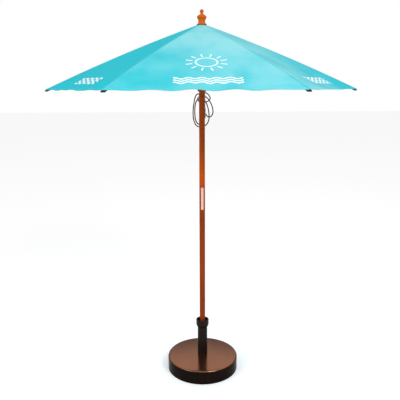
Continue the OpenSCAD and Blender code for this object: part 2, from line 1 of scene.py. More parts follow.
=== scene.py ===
"""Wooden pulley parasol with a turquoise canopy, standing in a filled round base.

Metres, in the CAD model's frame: +Z up, front towards -Y, origin under the base's centre.
"""
import json
import math

import bpy
import numpy as np
from mathutils import Matrix, Vector


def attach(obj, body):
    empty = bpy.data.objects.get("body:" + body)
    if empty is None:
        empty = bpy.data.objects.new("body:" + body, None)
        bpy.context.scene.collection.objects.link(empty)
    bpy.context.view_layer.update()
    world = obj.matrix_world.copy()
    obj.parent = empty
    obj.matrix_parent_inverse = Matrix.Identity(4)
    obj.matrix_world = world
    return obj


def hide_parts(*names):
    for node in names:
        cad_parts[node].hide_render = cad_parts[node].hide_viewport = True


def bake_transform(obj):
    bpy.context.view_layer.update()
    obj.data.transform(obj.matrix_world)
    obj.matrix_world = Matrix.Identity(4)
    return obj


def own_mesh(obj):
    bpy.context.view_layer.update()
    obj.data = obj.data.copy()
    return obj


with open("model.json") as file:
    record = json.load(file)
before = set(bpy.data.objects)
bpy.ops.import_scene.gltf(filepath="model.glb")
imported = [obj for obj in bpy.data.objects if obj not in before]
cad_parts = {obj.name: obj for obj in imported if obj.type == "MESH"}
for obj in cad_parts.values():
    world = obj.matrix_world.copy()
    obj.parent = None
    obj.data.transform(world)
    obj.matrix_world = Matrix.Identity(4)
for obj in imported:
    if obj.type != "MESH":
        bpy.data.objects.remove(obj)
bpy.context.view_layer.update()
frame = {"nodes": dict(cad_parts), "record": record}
NODES = frame["nodes"]

# ---------- camera ----------

CAMERA_TURN = math.radians(1.27)
CAMERA_PITCH = math.radians(12.278)
CAMERA_ROLL = math.radians(-0.19)
CAMERA_PLACE = (-0.0897, -3.3806, 1.9598)
FOCAL_PX = 515.5
IMAGE_PX = 400


def make_camera():
    data = bpy.data.cameras.new("camera")
    data.sensor_width = 36
    data.lens = FOCAL_PX / IMAGE_PX * data.sensor_width
    camera = bpy.data.objects.new("camera", data)
    bpy.context.scene.collection.objects.link(camera)
    right = Vector((math.cos(CAMERA_TURN), -math.sin(CAMERA_TURN), 0))
    ahead = Vector((
        math.sin(CAMERA_TURN) * math.cos(CAMERA_PITCH),
        math.cos(CAMERA_TURN) * math.cos(CAMERA_PITCH),
        -math.sin(CAMERA_PITCH)))
    turn = Matrix((right, right.cross(ahead), -ahead)).transposed()
    place = turn @ Matrix.Rotation(CAMERA_ROLL, 3, "Z")
    camera.matrix_world = Matrix.Translation(CAMERA_PLACE) @ place.to_4x4()
    bpy.context.scene.camera = camera


make_camera()

# ---------- rope: the route of the CAD model's rope, in millimetres ----------

ROPE_POINTS = [
    (0, 33, 1990), (0, 33, 1964), (3, 33, 1944), (14, 31, 1932), (31, 29, 1926),
    (46, 27, 1912), (54, 26, 1894), (45, 26, 1878), (27, 26, 1870), (8, 26, 1868),
    (-13, 26, 1871), (-27, 27, 1884), (-23, 30, 1899), (-6, 34, 1906), (16, 36, 1906),
    (37, 37, 1894), (54, 37, 1870), (67, 37, 1841), (73, 36, 1809), (66, 35, 1783),
    (50, 34, 1773), (33, 34, 1780), (20, 36, 1806), (10, 40, 1842), (1, 43, 1882),
    (-11, 43, 1912), (-27, 38, 1921), (-42, 34, 1903), (-51, 33, 1864), (-57, 32, 1814),
    (-55, 32, 1764), (-43, 32, 1728), (-23, 33, 1710), (2, 33, 1711), (26, 30, 1721),
    (42, 27, 1744), (47, 26, 1780), (40, 29, 1832), (24, 34, 1871), (-2, 35, 1888),
    (-28, 35, 1884), (-42, 35, 1856), (-46, 36, 1806), (-42, 37, 1758), (-28, 39, 1731),
    (-8, 40, 1722)]
ROPE_R = 0.00375

# ---------- sizes, as in the CAD model ----------

CANOPY_R = 1.0
CORNER_Z = 1.95
APEX_Z = 2.342
RIDGE_START_R = 0.030
RIB_BOW = 0.013
RIB_ANGLES = [-60, 0, 60, 120, 180, 240]
DISC_R = 0.031
COS_30 = 0.866
LABEL_Z = 1.236
LABEL_HALF = 0.072


# ---------- node helpers ----------

class Shader:
    """Builds one Principled material from short calls."""

    def __init__(self, name):
        self.material = bpy.data.materials.new(name)
        self.material.use_nodes = True
        self.tree = self.material.node_tree
        self.bsdf = self.tree.nodes["Principled BSDF"]

    def node(self, kind, **settings):
        node = self.tree.nodes.new("ShaderNode" + kind)
        for key, value in settings.items():
            setattr(node, key, value)
        return node

    def put(self, socket, value):
        if isinstance(value, bpy.types.NodeSocket):
            self.tree.links.new(value, socket)
        else:
            socket.default_value = value

    def set(self, **values):
        for key, value in values.items():
            self.put(self.bsdf.inputs[key.replace("_", " ")], value)
        return self

    def math(self, operation, a, b=0.0):
        node = self.node("Math", operation=operation)
        for socket, value in zip(node.inputs, (a, b)):
            self.put(socket, value)
        return node.outputs[0]

    def mix(self, factor, a, b):
        node = self.node("Mix", data_type="RGBA")
        self.put(node.inputs["Factor"], factor)
        for socket, value in ((node.inputs[6], a), (node.inputs[7], b)):
            self.put(socket, value if isinstance(value, bpy.types.NodeSocket) else (*value[:3], 1))
        return node.outputs[2]

    def place(self, scale=(1, 1, 1)):
        coordinates = self.node("TexCoord").outputs["Object"]
        mapping = self.node("Mapping")
        self.put(mapping.inputs["Vector"], coordinates)
        mapping.inputs["Scale"].default_value = scale
        return mapping.outputs["Vector"]

    def noise(self, scale, detail=3.0, vector=None, rough=0.5, distortion=0.0):
        node = self.node("TexNoise")
        self.put(node.inputs["Vector"], self.place() if vector is None else vector)
        for key, value in (("Scale", scale), ("Detail", detail), ("Roughness", rough),
                           ("Distortion", distortion)):
            node.inputs[key].default_value = value
        return node.outputs["Fac"]

    def ramp(self, value, *stops):
        node = self.node("ValToRGB")
        self.put(node.inputs["Fac"], value)
        elements = node.color_ramp.elements
        while len(elements) < len(stops):
            elements.new(0.5)
        for element, (place, colour) in zip(elements, stops):
            element.position = place
            element.color = (*colour, 1) if len(colour) == 3 else colour
        return node.outputs["Color"]

    def map(self, value, low, high, to_low=0.0, to_high=1.0):
        node = self.node("MapRange")
        for socket, number in zip(node.inputs, (value, low, high, to_low, to_high)):
            self.put(socket, number)
        return node.outputs[0]

    def xyz(self, vector):
        node = self.node("SeparateXYZ")
        self.put(node.inputs[0], vector)
        return node.outputs

    def bump(self, height, distance, strength=1.0):
        node = self.node("Bump")
        node.inputs["Distance"].default_value = distance
        node.inputs["Strength"].default_value = strength
        self.put(node.inputs["Height"], height)
        previous = self.bsdf.inputs["Normal"]
        if previous.is_linked:
            self.put(node.inputs["Normal"], previous.links[0].from_socket)
        self.put(previous, node.outputs[0])
        return self


def speckled(name, colour, rough, spread=0.25, bump=0.0002, scale=180, **more):
    """Moulded or painted surface with a fine grain and slight handling marks."""
    s = Shader(name)
    worn = s.noise(9, 4, rough=0.6)
    dark = [c * (1 - spread) for c in colour]
    light = [min(c * (1 + spread), 1) for c in colour]
    s.set(Base_Color=s.mix(worn, dark, light), Roughness=s.map(worn, 0.3, 0.7, rough * 0.85, rough * 1.2))
    s.set(**more)
    s.bump(s.noise(scale, 2), bump)
    return s.material


def wood(name, dark, mid, light, along=(0, 0, 1), joint=False, rough=0.3):
    """Stained, lacquered wood; its grain runs along one axis."""
    s = Shader(name)
    across = [0.035 if a else 1.0 for a in along]
    grain = s.noise(150, 5, s.place(across), 0.65, 0.4)
    fibres = s.noise(620, 2, s.place([0.02 if a else 1.0 for a in along]), 0.6)
    broad = s.noise(3.2, 2, s.place([0.8 if a else 1.0 for a in along]), 0.5)
    body = s.ramp(grain, (0.30, dark), (0.52, mid), (0.74, light))
    body = s.mix(s.map(fibres, 0.35, 0.7, 0.35, 0.0), body, [c * 0.45 for c in dark])
    body = s.mix(s.map(broad, 0.35, 0.7, 0.0, 0.35), body, light)
    if joint:
        z = s.xyz(s.place())[2]
        lighten = s.math("MULTIPLY", s.map(z, 1.300, 1.345), s.map(z, 1.62, 1.40))
        body = s.mix(s.math("MULTIPLY", lighten, 0.72), body, (0.56, 0.072, 0.0))
        body = s.mix(s.map(z, 1.31, 1.20, 0.0, 0.50), body, (0.17, 0.022, 0.0))
    s.set(Base_Color=body, Roughness=s.map(grain, 0.3, 0.7, rough * 1.25, rough * 0.85),
          Specular_IOR_Level=0.08)
    s.bump(grain, 0.00025, 0.6).bump(fibres, 0.0001, 0.5)
    return s.material


def metal(name, colour):
    """Metal brushed along Z, with darker stains."""
    s = Shader(name)
    brushed = s.noise(400, 3, s.place((1.0, 1.0, 0.08)), 0.6)
    stain = s.noise(25, 3)
    tone = s.mix(s.map(stain, 0.35, 0.75, 0.0, 0.5), colour, [c * 0.72 for c in colour])
    s.set(Base_Color=tone, Metallic=1.0, Roughness=s.map(brushed, 0.3, 0.7, 0.24, 0.39))
    s.bump(brushed, 0.00006, 0.5)
    return s.material


def stripe(s, distance, half_width, soft=0.0012):
    """1 where the distance is under half_width, with a soft edge."""
    return s.map(distance, half_width + soft, half_width, 0.0, 1.0)


def either(s, *masks):
    total = masks[0]
    for mask in masks[1:]:
        total = s.math("MAXIMUM", total, mask)
    return total


def waves(s, u, v, centre_u, centre_v, half_length, rows, pitch, swing, line, period):
    """Rows of wavy lines in a band; a generic decoration."""
    inside = s.math("LESS_THAN", s.math("ABSOLUTE", s.math("SUBTRACT", u, centre_u)), half_length)
    ripple = s.math("MULTIPLY", s.math("SINE", s.math("MULTIPLY", u, 2 * math.pi / period)), swing)
    masks = []
    for row in range(rows):
        level = centre_v + (row - (rows - 1) / 2) * pitch
        offset = s.math("ABSOLUTE", s.math("SUBTRACT", s.math("SUBTRACT", v, level), ripple))
        masks.append(stripe(s, offset, line / 2))
    return s.math("MULTIPLY", either(s, *masks), inside)


def sun(s, u, v, centre_u, centre_v, radius, line, rays):
    """A ring with rays round it; a generic decoration."""
    du, dv = s.math("SUBTRACT", u, centre_u), s.math("SUBTRACT", v, centre_v)
    reach = s.math("SQRT", s.math("ADD", s.math("MULTIPLY", du, du), s.math("MULTIPLY", dv, dv)))
    ring = stripe(s, s.math("ABSOLUTE", s.math("SUBTRACT", reach, radius)), line / 2)
    turn = s.math("MULTIPLY", s.math("ARCTAN2", du, dv), rays / (2 * math.pi))
    off = s.math("ABSOLUTE", s.math("SUBTRACT", s.math("FRACT", s.math("ADD", turn, 10.0)), 0.5))
    sideways = s.math("MULTIPLY", s.math("MULTIPLY", off, reach), 2 * math.pi / rays)
    long = s.math("MULTIPLY", s.math("GREATER_THAN", reach, radius * 1.35),
                  s.math("LESS_THAN", reach, radius * 1.95))
    return either(s, ring, s.math("MULTIPLY", stripe(s, sideways, line / 2), long))


# cloth: colours, and the pitch of weave and stitches in metres
WEAVE = 0.0016
STITCH_STEP = 0.0045
STITCH_HALF_WIDTH = 0.0007
HEM_STITCH = 0.019
SEAM_STITCH = 0.0095
STITCH_COLOUR = (0.25, 0.80, 0.84)
PRINT_WHITE = (0.93, 0.96, 0.96)
CLOTH = (0.0, 0.510, 0.600)
# colour of the sun-faded cloth, also used for the painted light on lit panels and near the top
CLOTH_FADED_AND_LIT = (0.250, 0.640, 0.690)
CLOTH_DEEP = (0.0, 0.440, 0.530)


def cloth(name, motif=None, painted_light=0.05, painted_side_light=0.0, crown=0.25):
    """Turquoise woven polyester with stitching beside the hem and the seams. Random patches are faded by
    the sun.
    Each panel is also painted lighter or darker all over, lighter towards one side and lighter near the
    top: painted light and painted sheen, set per panel; the cloth is a little darker towards the hem."""
    s = Shader(name)
    u, v, _ = s.xyz(s.node("UVMap", uv_map="panel").outputs[0])
    patches = s.noise(4.5, 3)
    # lighter near the top and towards one side is painted light and painted sheen; the patches are real sun
    # fading, and the cloth gets a little darker towards the hem
    lighten = s.math("ADD", s.map(v, 0.62, 0.22, 0.0, crown), s.map(patches, 0.35, 0.7, 0.0, 0.25))
    lighten = s.math("ADD", lighten, s.map(u, -0.32, 0.27, -painted_side_light, painted_side_light))
    lighten = s.math("ADD", lighten, s.map(v, 0.72, 0.95, 0.0, -0.15))
    tone = s.mix(s.math("ADD", lighten, painted_light), CLOTH, CLOTH_FADED_AND_LIT)
    tone = s.mix(s.map(patches, 0.55, 0.25, 0.0, 0.5), tone, CLOTH_DEEP)
    weave_u = s.math("SINE", s.math("MULTIPLY", u, 2 * math.pi / WEAVE))
    weave_v = s.math("SINE", s.math("MULTIPLY", v, 2 * math.pi / WEAVE))
    weave = s.math("MULTIPLY", weave_u, weave_v)
    slubs = s.noise(900, 2, s.place((1, 0.06, 1)))
    tone = s.mix(s.map(slubs, 0.3, 0.75, 0.0, 0.12), tone, CLOTH_DEEP)
    # rows of stitches: inside the hem, and beside the seam over each rib
    edge = s.math("SUBTRACT", CANOPY_R, v)
    inset = s.math("SUBTRACT", s.math("MULTIPLY", v, 0.5), s.math("ABSOLUTE", u))
    beside = s.math("MULTIPLY", inset, COS_30)
    rows = []
    for distance, place, step in ((edge, HEM_STITCH, u), (beside, SEAM_STITCH, v)):
        off = s.math("ABSOLUTE", s.math("SUBTRACT", distance, place))
        row = stripe(s, off, STITCH_HALF_WIDTH, 0.0005)
        phase = s.math("FRACT", s.math("ADD", s.math("MULTIPLY", step, 1 / STITCH_STEP), 900))
        rows.append(s.math("MULTIPLY", row, s.math("LESS_THAN", phase, 0.7)))
    stitch = either(s, *rows)
    tone = s.mix(s.math("MULTIPLY", stitch, 0.55), tone, STITCH_COLOUR)
    if motif == "front":
        print_mask = either(
            s, sun(s, u, v, 0.010, 0.655, 0.058, 0.0060, 12),
            waves(s, u, v, 0.012, 0.885, 0.175, 3, 0.026, 0.0075, 0.010, 0.070))
        tone = s.mix(print_mask, tone, PRINT_WHITE)
    elif motif == "side":
        print_mask = waves(s, u, v, 0.0, 0.875, 0.17, 3, 0.028, 0.0085, 0.011, 0.074)
        tone = s.mix(print_mask, tone, PRINT_WHITE)
    s.set(Base_Color=tone, Roughness=s.map(patches, 0.3, 0.7, 0.46, 0.58))
    s.set(Sheen_Weight=0.01, Sheen_Roughness=0.4, Specular_IOR_Level=0.06)
    s.bump(weave, 0.00018, 0.5).bump(slubs, 0.0001, 0.4).bump(stitch, 0.0004, 0.8)
    return s.material


def rope_fibre(name):
    """Brown fibres that run along the strands, with lighter, rubbed patches."""
    s = Shader(name)
    fibres = s.noise(900, 3, s.place((1, 1, 0.35)), 0.65)
    patch = s.noise(28, 3)
    tone = s.ramp(fibres, (0.28, (0.022, 0.005, 0.001)), (0.55, (0.100, 0.024, 0.004)),
                  (0.8, (0.24, 0.075, 0.016)))
    tone = s.mix(s.map(patch, 0.35, 0.7, 0.0, 0.4), tone, (0.13, 0.040, 0.010))
    s.set(Base_Color=tone, Roughness=0.8, Specular_IOR_Level=0.05)
    s.bump(fibres, 0.0003, 0.8)
    return s.material


def base_gloss_painted_top_light(name):
    """Glossy dark plastic. Its domed top is painted a lighter, warmer brown and made metallic so that it
    mirrors the room: painted top light and a painted reflection that the near-black side doesn't get.
    """
    s = Shader(name)
    z = s.xyz(s.place())[2]
    # painted light: above this height the top is a lit, mirror-like brown; the side stays near black
    top = s.map(z, 0.0895, 0.0945)
    scuffs = s.noise(7, 5, rough=0.6)
    side = s.mix(scuffs, (0.0060, 0.0036, 0.0026), (0.0100, 0.0064, 0.0048))
    # painted top light: the warm brown of the lit top
    crown = s.mix(scuffs, (0.220, 0.090, 0.048), (0.360, 0.150, 0.086))
    s.set(Base_Color=s.mix(top, side, crown), Roughness=s.map(scuffs, 0.3, 0.7, 0.13, 0.21),
          Metallic=s.math("MULTIPLY", top, 0.95), Specular_IOR_Level=0.02)
    s.bump(s.noise(260, 2), 0.00012, 0.35)
    return s.material


def label_paper(name):
    """Blank sticker with a darker border at both ends."""
    s = Shader(name)
    z = s.xyz(s.place())[2]
    paper = s.mix(s.noise(60, 3), (0.78, 0.40, 0.31), (0.86, 0.50, 0.40))
    from_middle = s.math("ABSOLUTE", s.math("SUBTRACT", z, LABEL_Z))
    border = s.map(from_middle, LABEL_HALF - 0.001, LABEL_HALF, 0.0, 0.6)
    s.set(Base_Color=s.mix(border, paper, (0.60, 0.26, 0.19)), Roughness=0.45)
    s.bump(s.noise(500, 2), 0.00005, 0.5)
    return s.material


MATERIALS = {
    "base_plastic": base_gloss_painted_top_light("base_gloss_painted_top_light"),
    "concrete": speckled("concrete", (0.45, 0.44, 0.41), 0.9, 0.3, 0.001, 90),
    "foot_rubber": speckled("foot_rubber", (0.03, 0.03, 0.03), 0.8),
    "tube_plastic": speckled("tube_plastic", (0.0110, 0.0066, 0.0052), 0.34, 0.3,
                             Specular_IOR_Level=0.08),
    "collar_plastic": speckled("collar_plastic", (0.0095, 0.0056, 0.0044), 0.26, 0.3,
                               Specular_IOR_Level=0.10),
    "brass_nut": metal("brass_nut", (0.72, 0.50, 0.22)),
    "knob_plastic": speckled("knob_plastic", (0.012, 0.010, 0.009), 0.42, Specular_IOR_Level=0.3),
    "steel": metal("steel", (0.62, 0.62, 0.63)),
    "sleeve_plastic": speckled("sleeve_plastic", (0.020, 0.014, 0.011), 0.5, Specular_IOR_Level=0.3),
    "pole_wood": wood("pole_wood", (0.15, 0.017, 0.0), (0.33, 0.042, 0.001), (0.46, 0.072, 0.002),
                      joint=True),
    "hub_wood": wood("hub_wood", (0.11, 0.018, 0.004), (0.26, 0.045, 0.009), (0.38, 0.080, 0.016)),
    "rib_wood": wood("rib_wood", (0.14, 0.030, 0.006), (0.30, 0.072, 0.015), (0.42, 0.125, 0.030),
                     along=(1, 1, 0)),
    "finial_wood": wood("finial_wood", (0.42, 0.060, 0.003), (0.64, 0.112, 0.006), (0.82, 0.180, 0.016),
                        rough=0.22),
    "label": label_paper("label_paper"),
    "rope": rope_fibre("rope_fibre"),
    "disc": speckled("disc", (0.020, 0.013, 0.010), 0.6),
    "pulley": metal("pulley_brass", (0.72, 0.50, 0.22)),
    "tip_plastic": speckled("tip_plastic", (0.008, 0.007, 0.007), 0.45, Specular_IOR_Level=0.3),
    "canopy": cloth("canopy"),
}
# lit and shaded copies of one cloth: the front, right and seam pieces are painted lighter and the left
# panel darker, as painted light from the key lamp
CANOPY_FRONT = cloth("canopy_front", "front", 0.42, 0.20, 0.50)
SEAM_CLOTH = cloth("canopy_seam", None, 0.30)
CANOPY_LEFT = cloth("canopy_left", "side", -0.32, 0.0, 0.05)
CANOPY_RIGHT = cloth("canopy_right", "side", 0.42, -0.35, 0.35)


# ---------- mesh helpers ----------

def shade(obj, angle=30):
    obj.data.polygons.foreach_set("use_smooth", [True] * len(obj.data.polygons))
    obj.data.set_sharp_from_angle(angle=math.radians(angle))


def make(name, verts, faces, slot, body, replaces=(), angle=40):
    mesh = bpy.data.meshes.new(name)
    mesh.from_pydata([tuple(v) for v in verts], [], [tuple(f) for f in faces])
    mesh.validate()
    mesh.update()
    obj = bpy.data.objects.new(name, mesh)
    bpy.context.scene.collection.objects.link(obj)
    mesh.materials.append(MATERIALS[slot])
    shade(obj, angle)
    if replaces:
        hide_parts(*replaces)
    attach(obj, body)
    return obj


def lathe(name, profile, slot, body, replaces=(), steps=128, angle=40):
    """Turns (radius, height) points about the Z axis; points with radius 0 are poles. The profile
    closes on itself unless it starts and ends on the axis."""
    verts, rings = [], []
    for r, h in profile:
        count = 1 if r < 1e-9 else steps
        rings.append((len(verts), count))
        for k in range(count):
            a = 2 * math.pi * k / steps
            verts.append((r * math.cos(a), r * math.sin(a), h))
    faces = []
    closed = rings[0][1] > 1 and rings[-1][1] > 1
    pairs = list(zip(rings, rings[1:])) + ([(rings[-1], rings[0])] if closed else [])
    for (a, na), (b, nb) in pairs:
        for k in range(steps):
            m = (k + 1) % steps
            if na == 1:
                faces.append((a, b + m, b + k))
            elif nb == 1:
                faces.append((a + k, a + m, b))
            else:
                faces.append((a + k, a + m, b + m, b + k))
    return make(name, verts, faces, slot, body, replaces, angle)


def arc(cx, cy, r, a, b, n):
    return [(cx + r * math.cos(math.radians(a + (b - a) * i / n)),
             cy + r * math.sin(math.radians(a + (b - a) * i / n))) for i in range(n + 1)]


def smooth_path(points, spacing):
    """Catmull-Rom curve through the points, resampled to even spacing."""
    p = np.array(points, float)
    out = []
    for i in range(len(p) - 1):
        a, b, c, d = p[max(i - 1, 0)], p[i], p[i + 1], p[min(i + 2, len(p) - 1)]
        for t in np.linspace(0, 1, 24, endpoint=False):
            out.append(0.5 * (2 * b + (c - a) * t + (2 * a - 5 * b + 4 * c - d) * t * t
                              + (3 * b - a - 3 * c + d) * t ** 3))
    out.append(p[-1])
    out = np.array(out)
    along = np.concatenate([[0], np.cumsum(np.linalg.norm(np.diff(out, axis=0), axis=1))])
    count = max(int(round(along[-1] / spacing)), 2)
    even = np.linspace(0, along[-1], count + 1)
    return np.stack([np.interp(even, along, out[:, k]) for k in range(3)], 1), along[-1]


def twisted_rope(name, path, radius, slot, body, replaces=(), sides=18, pitch=0.022):
    """Three-strand rope: a tube whose section has three lobes that turn along it."""
    n = len(path)
    tangents = np.gradient(path, axis=0)
    tangents /= np.linalg.norm(tangents, axis=1)[:, None]
    normal = np.array([1.0, 0, 0]) if abs(tangents[0][0]) < 0.9 else np.array([0, 1.0, 0])
    step = np.linalg.norm(np.diff(path, axis=0), axis=1)
    along = np.concatenate([[0], np.cumsum(step)])
    verts = []
    for i in range(n):
        t = tangents[i]
        normal = normal - t * normal.dot(t)
        normal /= np.linalg.norm(normal)
        side = np.cross(t, normal)
        turn = 2 * math.pi * along[i] / pitch
        for k in range(sides):
            a = 2 * math.pi * k / sides
            r = radius * (0.80 + 0.20 * abs(math.cos(1.5 * (a - turn))) ** 0.6)
            verts.append(path[i] + r * (math.cos(a) * normal + math.sin(a) * side))
    faces = [(i * sides + k, i * sides + (k + 1) % sides, (i + 1) * sides + (k + 1) % sides,
              (i + 1) * sides + k) for i in range(n - 1) for k in range(sides)]
    faces += [tuple(range(sides - 1, -1, -1)), tuple((n - 1) * sides + k for k in range(sides))]
    return make(name, verts, faces, slot, body, replaces, angle=75)


# ---------- rope, knot and hoist rope ----------

rope_path, rope_length = smooth_path(np.array(ROPE_POINTS) / 1000, 0.003)
rope = twisted_rope("rope_line", rope_path, ROPE_R, "rope", "runner", ["rope"])


def knot_curve():
    """Wraps of a stopper knot round the rope's end, then the short tail."""
    centre = rope_path[-1] + np.array([0.0059, 0, -0.0005])
    tail = math.radians(28)
    axis = np.array([math.cos(tail), 0, -math.sin(tail)])
    side = np.array([0, 1.0, 0])
    up = np.cross(axis, side)
    turns, steps, reach = 2.6, 66, 0.0046
    points = []
    for k in range(steps + 1):
        f = k / steps
        a = 2 * math.pi * turns * f
        along = -0.0038 + 0.0076 * f
        points.append(centre + axis * along + reach * (math.cos(a) * side + math.sin(a) * up))
    exit_point = points[-1]
    for f in (0.35, 0.7, 1.0):
        points.append(exit_point * (1 - f) + (centre + axis * 0.0070) * f + axis * 0.003 * f)
    points.append(centre + axis * 0.0145)
    points.append(centre + axis * 0.0195)
    return smooth_path(points, 0.0016)[0]


knot = twisted_rope("rope_knot_wraps", knot_curve(), 0.0027, "rope", "runner", ["rope_knot"],
                    sides=14, pitch=0.016)

HOIST_R = 0.00365
PULLEY_Z = 2.262
STRAND_TOP_Y = 0.01960
STRAND_FOOT = (0.0330, 1.9962)


def hoist_path():
    down = [(0, y, z) for y, z in zip(np.linspace(STRAND_FOOT[0], STRAND_TOP_Y, 40),
                                      np.linspace(STRAND_FOOT[1], PULLEY_Z, 40))]
    over = [(0, y, z) for y, z in arc(0, PULLEY_Z, STRAND_TOP_Y, 0, 180, 24)][1:-1]
    other = [(0, -y, z) for _, y, z in reversed(down)]
    return smooth_path(down + over + other, 0.003)[0]


hoist_line = hoist_path()
hoist = twisted_rope("hoist_rope_line", hoist_line, HOIST_R, "rope", "upper_pole", ["hoist_rope"])

# ---------- canopy ----------

ROWS = 48
HALF_COLUMNS = 16
COLUMNS = 2 * HALF_COLUMNS
SIM_FRAMES = 26
SAG_CAP = 0.010
SAG_SLOPE = 0.045
HEM_START = 0.979
HEM_EXTRA = 0.0005


def ridge_z(r):
    f = (r - RIDGE_START_R) / (CANOPY_R - RIDGE_START_R)
    return APEX_Z - (APEX_Z - CORNER_Z) * f + 4 * RIB_BOW * f * (1 - f)


def row_radii():
    f = np.linspace(0, 1, ROWS - 2)
    inner = 0.034 + (HEM_START - 0.034) * f ** 1.15
    return np.concatenate([inner, [HEM_START + 0.0012, (HEM_START + CANOPY_R) / 2, CANOPY_R]])


RADII = row_radii()


def flat_panel(k):
    """Points [row, column] of the panel between rib k and rib k + 1, before it sags."""
    a, b = (math.radians(RIB_ANGLES[j % 6]) for j in (k, k + 1))
    t = np.linspace(0, 1, COLUMNS + 1)
    r = RADII[:, None]
    x = r * (math.cos(a) * (1 - t) + math.cos(b) * t)
    y = r * (math.sin(a) * (1 - t) + math.sin(b) * t)
    z = np.repeat(ridge_z(RADII)[:, None], COLUMNS + 1, 1)
    # the cloth's inner edge is round, against the disc under the finial
    reach = np.hypot(x, y)
    grow = np.maximum(DISC_R + 0.0004, reach) / reach
    return np.stack([x * grow, y * grow, z], 2)


def simulate(grids):
    """Lets the canopy hang from its ribs as one cloth, and returns the panels as they settle."""
    columns = 6 * COLUMNS
    flat = np.concatenate([g[:, :-1] for g in grids], 1).reshape(-1, 3)
    faces = [(i * columns + j, (i + 1) * columns + j, (i + 1) * columns + (j + 1) % columns,
              i * columns + (j + 1) % columns) for i in range(ROWS) for j in range(columns)]
    mesh = bpy.data.meshes.new("sim")
    mesh.from_pydata([tuple(v) for v in flat], [], faces)
    mesh.update()
    obj = bpy.data.objects.new("sim", mesh)
    bpy.context.scene.collection.objects.link(obj)
    pins = obj.vertex_groups.new(name="pins")
    held = [i * columns + j for i in range(ROWS + 1) for j in range(columns)
            if j % COLUMNS == 0 or RADII[i] < 0.09]
    pins.add(held, 1.0, "REPLACE")
    # the hem is a doubled, tighter edge
    hem = [ROWS * columns + j for j in range(columns) if j % COLUMNS]
    pins.add(hem, 0.12, "REPLACE")
    settings = obj.modifiers.new("cloth", "CLOTH").settings
    settings.quality = 6
    settings.mass = 0.18
    settings.tension_stiffness = settings.compression_stiffness = 25
    settings.shear_stiffness = 8
    settings.bending_stiffness = 0.15
    settings.air_damping = 4
    settings.vertex_group_mass = "pins"
    settings.shrink_min = -0.003
    scene = bpy.context.scene
    scene.frame_start, scene.frame_end = 1, SIM_FRAMES
    obj.modifiers["cloth"].point_cache.frame_end = SIM_FRAMES
    for step in range(1, SIM_FRAMES + 1):
        scene.frame_set(step)
    settled = obj.evaluated_get(bpy.context.evaluated_depsgraph_get()).to_mesh()
    moved = np.array([v.co for v in settled.vertices])
    scene.frame_set(1)
    bpy.data.objects.remove(obj)
    shift = moved - flat
    size = np.linalg.norm(shift, axis=1, keepdims=True)
    # the cloth lies flat on each rib's edges, so it may only sag a little beside them
    across = np.minimum(np.arange(COLUMNS), COLUMNS - np.arange(COLUMNS)) / COLUMNS
    allowed = np.minimum(SAG_CAP, SAG_SLOPE * RADII[:, None] * np.tile(across, 6)).reshape(-1, 1)
    shift *= np.minimum(1, allowed / np.maximum(size, 1e-9))
    # the doubled hem is tighter than the cloth above it
    loose = 1 - 0.85 * (RADII / CANOPY_R) ** 10
    moved = (flat.reshape(ROWS + 1, columns, 3)
             + shift.reshape(ROWS + 1, columns, 3) * loose[:, None, None])
    wrapped = np.concatenate([moved, moved[:, :1]], 1)
    return [wrapped[:, k * COLUMNS:(k + 1) * COLUMNS + 1] for k in range(6)]


def crease(grid, k):
    """Small folds left from storage, pulls towards the corners, and a wavy hem."""
    local = np.random.default_rng(40 + k)
    t = np.linspace(-1, 1, COLUMNS + 1)[None, :]
    f = (RADII / CANOPY_R)[:, None]
    free = (1 - t * t) ** 0.7
    lift = np.zeros((ROWS + 1, COLUMNS + 1))
    # ripples that run in from the hem and fade upwards
    for _ in range(4):
        waves_in = local.uniform(2.0, 6.0)
        lift += 0.0013 * np.sin(waves_in * math.pi * t + local.uniform(0, 6.28)) * f ** local.uniform(6, 14)
    # pulls that fan from each lower corner
    for corner in (-1, 1):
        across = 1 - corner * t
        angle = np.arctan2(across * 0.5, 1.02 - f)
        near = np.exp(-((1.0 - f) ** 2 + (across * 0.5) ** 2) / 0.045)
        lift += 0.0016 * np.sin(9 * angle + local.uniform(0, 6.28)) * near
    # two soft folds across the panel
    for _ in range(2):
        level, tilt = local.uniform(0.55, 0.92), local.uniform(-0.05, 0.05)
        lift += 0.0011 * np.exp(-((f - level - tilt * t) / 0.012) ** 2)
    lift *= free
    lift += np.where(f > HEM_START / CANOPY_R + 0.0006, HEM_EXTRA, 0)
    out = grid.copy()
    out[:, :, 2] += lift
    return out


panels = [flat_panel(k) for k in range(6)]
panels = simulate(panels)
panels = [crease(g, k) for k, g in enumerate(panels)]


def grid_normals(g):
    du = np.gradient(g, axis=1)
    dv = np.gradient(g, axis=0)
    n = np.cross(dv, du)
    n *= np.sign(n[:, :, 2:3])
    return n / np.linalg.norm(n, axis=2, keepdims=True)


def ring_normals(grids):
    """Normals of all panels; those on a shared rib are averaged, for a soft ridge."""
    normals = [grid_normals(g) for g in grids]
    for k in range(6):
        a, b = normals[k], normals[(k + 1) % 6]
        both = a[:, -1] + b[:, 0]
        both /= np.linalg.norm(both, axis=1, keepdims=True)
        a[:, -1], b[:, 0] = both, both
    return normals


NORMALS = ring_normals(panels)
CLOTH_T = 0.0009
SEAM_T = 0.0012
SPLIT_R = 0.046
SPLIT_ROW = int(np.argmin(abs(RADII - SPLIT_R)))
SPLIT_R = float(RADII[SPLIT_ROW])


